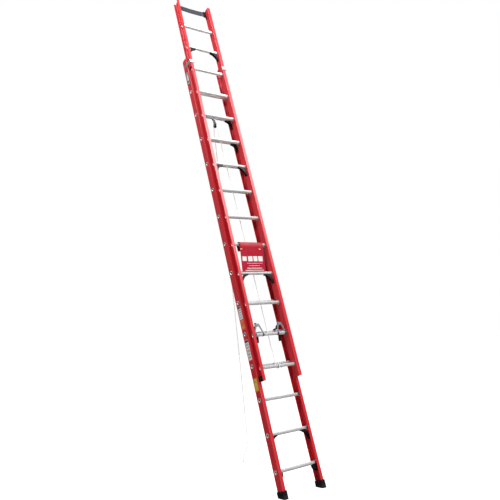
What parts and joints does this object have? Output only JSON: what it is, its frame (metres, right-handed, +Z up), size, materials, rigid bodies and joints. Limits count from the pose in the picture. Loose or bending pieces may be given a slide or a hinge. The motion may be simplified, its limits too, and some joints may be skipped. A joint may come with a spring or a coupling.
{
  "type": "extension ladder",
  "caption": "Two-section leaning extension ladder with channel rails, hollow D rungs, swinging rung locks, a rope halyard over a pulley and rubber boots.",
  "frame": {"origin": "on the ground, midway between the two soles", "axes": "+X along the rungs to the climber's right, +Y towards the wall that the ladder leans on, +Z up; the rails lean 12.5 degrees from +Z towards +Y"},
  "size_m": [0.4764, 1.1837, 5.308],
  "materials": {
    "red_fibreglass": "pultruded fibreglass channel, glossy red with faint fibre streaks along the rail",
    "rung_aluminium": "extruded aluminium, satin, with ribbed tread",
    "black_plastic": "moulded black nylon, fine grain",
    "zinc_steel": "zinc-plated steel rivets, pins and springs",
    "black_rubber": "matt black rubber, slightly dusty",
    "bracket_steel": "pressed galvanised steel",
    "lock_steel": "pressed steel of the rung locks, darkened zinc",
    "pale_plastic": "moulded off-white nylon",
    "black_casting": "cast hook and flap, black powder coat",
    "strap_webbing": "rubberised webbing, blue-black",
    "red_vinyl": "coated red vinyl sheet with a plain pale band",
    "rope": "braided off-white polyester rope"
  },
  "bodies": {
    "base": {"base_rail_left": "red_fibreglass", "base_rail_right": "red_fibreglass", "base_rung_01": "rung_aluminium", "base_rung_02": "rung_aluminium", "base_rung_03": "rung_aluminium", "base_rung_04": "rung_aluminium", "base_rung_05": "rung_aluminium", "base_rung_06": "rung_aluminium", "base_rung_07": "rung_aluminium", "base_rung_08": "rung_aluminium", "base_rung_09": "rung_aluminium", "base_rung_10": "rung_aluminium", "base_rung_11": "rung_aluminium", "base_rung_12": "rung_aluminium", "base_rung_13": "rung_aluminium", "base_rung_14": "rung_aluminium", "base_rung_braces": "black_plastic", "base_rivets": "zinc_steel", "foot_boot_left": "black_rubber", "foot_boot_right": "black_rubber", "guide_bracket_left": "bracket_steel", "guide_bracket_right": "bracket_steel", "guide_pads": "pale_plastic", "pulley_clamp": "bracket_steel", "pulley_block": "bracket_steel", "pulley_axle": "zinc_steel", "halyard_free": "rope", "halyard_fall": "rope"},
    "fly": {"fly_rail_left": "red_fibreglass", "fly_rail_right": "red_fibreglass", "fly_rung_01": "rung_aluminium", "fly_rung_02": "rung_aluminium", "fly_rung_03": "rung_aluminium", "fly_rung_04": "rung_aluminium", "fly_rung_05": "rung_aluminium", "fly_rung_06": "rung_aluminium", "fly_rung_07": "rung_aluminium", "fly_rung_08": "rung_aluminium", "fly_rung_09": "rung_aluminium", "fly_rung_10": "rung_aluminium", "fly_rung_11": "rung_aluminium", "fly_rung_12": "rung_aluminium", "fly_rung_13": "rung_aluminium", "fly_rung_14": "rung_aluminium", "fly_rung_braces": "black_plastic", "fly_rivets": "zinc_steel", "fly_end_guides": "black_plastic", "pole_strap": "strap_webbing", "strap_brackets": "black_plastic", "sign_panel": "red_vinyl", "halyard_knot": "rope", "lock_housing_left": "lock_steel", "lock_housing_right": "lock_steel", "lock_pins": "zinc_steel", "lock_springs": "zinc_steel"},
    "sheave": {"pulley_sheave": "black_plastic"},
    "hook_left": {"lock_hook_left": "black_casting"},
    "hook_right": {"lock_hook_right": "black_casting"},
    "tongue_left": {"lock_tongue_left": "black_casting"},
    "tongue_right": {"lock_tongue_right": "black_casting"}
  },
  "joints": [
    {"name": "fly_slide", "type": "slide", "parent": "base", "child": "fly", "axis": [0, 0.2164, 0.9763], "range_m": [-0.9144, 2.4384], "deforming": ["halyard_fall"]},
    {"name": "sheave_spin", "type": "hinge", "parent": "base", "child": "sheave", "pos_m": [-0.018, 0.8096, 3.67959], "axis": [1, 0, 0], "continuous": true},
    {"name": "hook_left_swing", "type": "hinge", "parent": "fly", "child": "hook_left", "pos_m": [-0.129, 0.25528, 1.46569], "axis": [1, 0, 0], "range_deg": [0, 40], "stiffness_Nm_per_rad": 0.15, "springref_deg": -20.05},
    {"name": "tongue_left_swing", "type": "hinge", "parent": "fly", "child": "tongue_left", "pos_m": [-0.129, 0.26054, 1.37849], "axis": [1, 0, 0], "range_deg": [-5, 45]},
    {"name": "hook_right_swing", "type": "hinge", "parent": "fly", "child": "hook_right", "pos_m": [0.129, 0.25528, 1.46569], "axis": [1, 0, 0], "range_deg": [0, 40], "stiffness_Nm_per_rad": 0.15, "springref_deg": -20.05},
    {"name": "tongue_right_swing", "type": "hinge", "parent": "fly", "child": "tongue_right", "pos_m": [0.129, 0.26054, 1.37849], "axis": [1, 0, 0], "range_deg": [-5, 45]}
  ]
}
